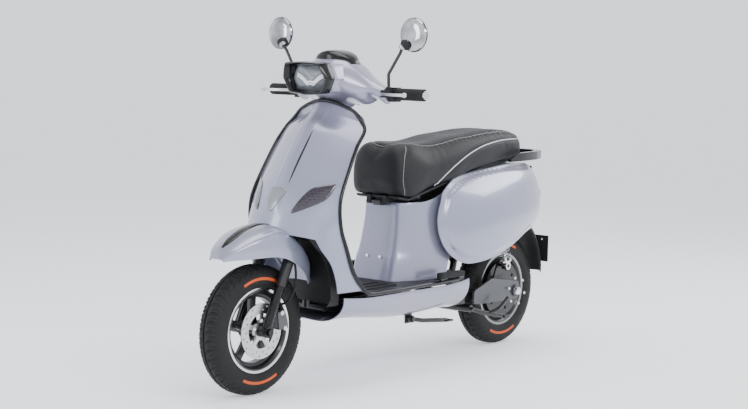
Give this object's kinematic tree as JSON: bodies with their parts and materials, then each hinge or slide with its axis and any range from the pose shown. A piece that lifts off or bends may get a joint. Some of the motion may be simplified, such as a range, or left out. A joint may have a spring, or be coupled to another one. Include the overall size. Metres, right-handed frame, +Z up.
{
  "type": "moped scooter",
  "caption": "Step-through electric scooter with a leg shield, hub-motor rear wheel, fork-mounted fender, hinged bench seat, side cowls and round mirrors.",
  "frame": {"origin": "on the ground, midway along the overall length, in the centre plane", "axes": "+X forward, +Y to the rider's left, +Z up"},
  "size_m": [1.7961, 0.72, 1.242],
  "materials": {
    "aluminium": "machined",
    "battery_case": "matte",
    "black_plastic": "matte",
    "black_trim": "gloss",
    "body_paint": "gloss pearl, pale lavender",
    "chrome": "polished",
    "clear_lens": "clear",
    "frame_black": "satin",
    "rubber": "matte",
    "seat_vinyl": "grained vinyl",
    "silver_trim": "satin silver",
    "smoked_lens": "smoked",
    "steel": "brushed",
    "tyre": "matte"
  },
  "bodies": {
    "chassis": {"main_frame": "frame_black", "front_apron": "body_paint", "inner_apron": "body_paint", "edge_trim": "black_trim", "floorboard": "body_paint", "floor_strips": "rubber", "belly_pan": "body_paint", "wheel_arch_liner": "black_plastic", "seat_pillar": "body_paint", "side_cowl_left": "body_paint", "side_cowl_right": "body_paint", "rear_mudguard": "black_plastic", "tail_light": "smoked_lens", "grab_rail": "silver_trim", "helmet_bucket": "black_plastic", "battery_pack": "battery_case", "indicator_lenses": "smoked_lens", "horn_grille": "silver_trim", "body_screws": "chrome", "head_bearings": "steel"},
    "key": {"ignition_key": "steel"},
    "peg_left": {"passenger_peg_left": "rubber"},
    "peg_right": {"passenger_peg_right": "rubber"},
    "side_stand": {"side_stand": "frame_black"},
    "centre_stand": {"centre_stand": "frame_black"},
    "seat": {"seat_pan": "black_plastic", "seat_cushion": "seat_vinyl"},
    "steering": {"steering_stem": "frame_black", "front_fender": "body_paint", "fender_crest": "black_trim", "handlebar": "frame_black", "headset_cover": "body_paint", "headlight_housing": "black_trim", "headlight_lens": "clear_lens", "instrument_panel": "black_trim", "switch_pods": "black_plastic", "left_grip": "rubber", "mirror_stems": "frame_black"},
    "lever_left": {"brake_lever_left": "aluminium"},
    "lever_right": {"brake_lever_right": "aluminium"},
    "throttle": {"throttle_grip": "rubber"},
    "mirror_left": {"mirror_left": "chrome"},
    "mirror_right": {"mirror_right": "chrome"},
    "horn_button": {"horn_button": "black_plastic"},
    "indicator_switch": {"indicator_switch": "black_plastic"},
    "start_button": {"start_button": "black_plastic"},
    "fork_lower": {"fork_sliders": "frame_black", "brake_caliper": "frame_black", "brake_hose": "rubber"},
    "front_wheel": {"front_tyre": "tyre", "front_wheel_rim": "frame_black", "brake_disc": "steel"},
    "swingarm": {"swingarm": "frame_black", "motor_stator": "steel", "motor_cover": "frame_black"},
    "rear_wheel": {"hub_motor_wheel": "frame_black", "rear_tyre": "tyre"},
    "shock_upper": {"shock_bodies": "frame_black", "shock_springs": "silver_trim"},
    "shock_lower": {"shock_rods": "chrome"}
  },
  "joints": [
    {"name": "steering", "type": "hinge", "parent": "chassis", "child": "steering", "pos_m": [0.65934, 0, 0.20543], "axis": [-0.4226, 0, 0.9063], "range_deg": [-38, 38]},
    {"name": "front_suspension", "type": "slide", "parent": "steering", "child": "fork_lower", "axis": [-0.4226, 0, 0.9063], "range_m": [0, 0.05], "stiffness_N_per_m": 9000, "springref_m": -0.06, "deforming": ["brake_hose"]},
    {"name": "front_wheel_spin", "type": "hinge", "parent": "fork_lower", "child": "front_wheel", "pos_m": [0.682, 0, 0.216], "axis": [0, 1, 0], "continuous": true},
    {"name": "swingarm_pivot", "type": "hinge", "parent": "chassis", "child": "swingarm", "pos_m": [-0.33, 0, 0.216], "axis": [0, 1, 0], "range_deg": [0, 7], "stiffness_Nm_per_rad": 900, "springref_deg": -11.46},
    {"name": "rear_wheel_spin", "type": "hinge", "parent": "swingarm", "child": "rear_wheel", "pos_m": [-0.658, 0, 0.216], "axis": [0, 1, 0], "continuous": true},
    {"name": "shock_upper_pivot", "type": "hinge", "parent": "chassis", "child": "shock_upper", "pos_m": [-0.54, 0, 0.52], "axis": [0, 1, 0], "range_deg": [-1.69, 0]},
    {"name": "shock_slide", "type": "slide", "parent": "shock_upper", "child": "shock_lower", "axis": [0.276, 0, 0.9612], "range_m": [0, 0.03526], "deforming": ["shock_springs"]},
    {"name": "seat_lid", "type": "hinge", "parent": "chassis", "child": "seat", "pos_m": [0.058, 0, 0.598], "axis": [0, 1, 0], "range_deg": [0, 55]},
    {"name": "throttle", "type": "hinge", "parent": "steering", "child": "throttle", "pos_m": [0.23643, -0.29, 0.988], "axis": [0, 1, 0], "range_deg": [-70, 0], "stiffness_Nm_per_rad": 0.25, "springref_deg": 20.05},
    {"name": "left_brake", "type": "hinge", "parent": "steering", "child": "lever_left", "pos_m": [0.28243, 0.214, 0.988], "axis": [0, 0, 1], "range_deg": [0, 16], "stiffness_Nm_per_rad": 1.5, "springref_deg": -14.32},
    {"name": "right_brake", "type": "hinge", "parent": "steering", "child": "lever_right", "pos_m": [0.28243, -0.214, 0.988], "axis": [0, 0, -1], "range_deg": [0, 16], "stiffness_Nm_per_rad": 1.5, "springref_deg": -14.32},
    {"name": "side_stand_pivot", "type": "hinge", "parent": "chassis", "child": "side_stand", "pos_m": [-0.007, 0.112, 0.183], "axis": [0, -1, 0], "range_deg": [0, 100], "stiffness_Nm_per_rad": 2, "springref_deg": -34.38},
    {"name": "centre_stand_pivot", "type": "hinge", "parent": "chassis", "child": "centre_stand", "pos_m": [-0.378, 0, 0.176], "axis": [0, -1, 0], "range_deg": [0, 100], "stiffness_Nm_per_rad": 6, "springref_deg": -45.84},
    {"name": "left_peg_fold", "type": "hinge", "parent": "chassis", "child": "peg_left", "pos_m": [-0.044, 0.216, 0.336], "axis": [0, 0, -1], "range_deg": [0, 80]},
    {"name": "right_peg_fold", "type": "hinge", "parent": "chassis", "child": "peg_right", "pos_m": [-0.044, -0.216, 0.336], "axis": [0, 0, 1], "range_deg": [0, 80]},
    {"name": "left_mirror_tilt", "type": "hinge", "parent": "steering", "child": "mirror_left", "pos_m": [0.26643, 0.274, 1.146], "axis": [0, 1, 0], "range_deg": [-12, 12]},
    {"name": "right_mirror_tilt", "type": "hinge", "parent": "steering", "child": "mirror_right", "pos_m": [0.26643, -0.274, 1.146], "axis": [0, 1, 0], "range_deg": [-12, 12]},
    {"name": "ignition_switch", "type": "hinge", "parent": "chassis", "child": "key", "pos_m": [0.29, -0.096, 0.812], "axis": [1, 0, 0], "range_deg": [0, 90]},
    {"name": "horn_press", "type": "slide", "parent": "steering", "child": "horn_button", "axis": [1, 0, 0], "range_m": [0, 0.0028], "stiffness_N_per_m": 150, "springref_m": -0.004},
    {"name": "start_press", "type": "slide", "parent": "steering", "child": "start_button", "axis": [1, 0, 0], "range_m": [0, 0.0028], "stiffness_N_per_m": 150, "springref_m": -0.004},
    {"name": "indicator_slide", "type": "slide", "parent": "steering", "child": "indicator_switch", "axis": [0, 1, 0], "range_m": [-0.005, 0.005]}
  ],
  "couplings": [
    {"joint": "shock_upper_pivot", "follows": "swingarm_pivot", "ratio": -0.23609},
    {"joint": "shock_slide", "follows": "swingarm_pivot", "m_per_rad": 0.28296}
  ]
}
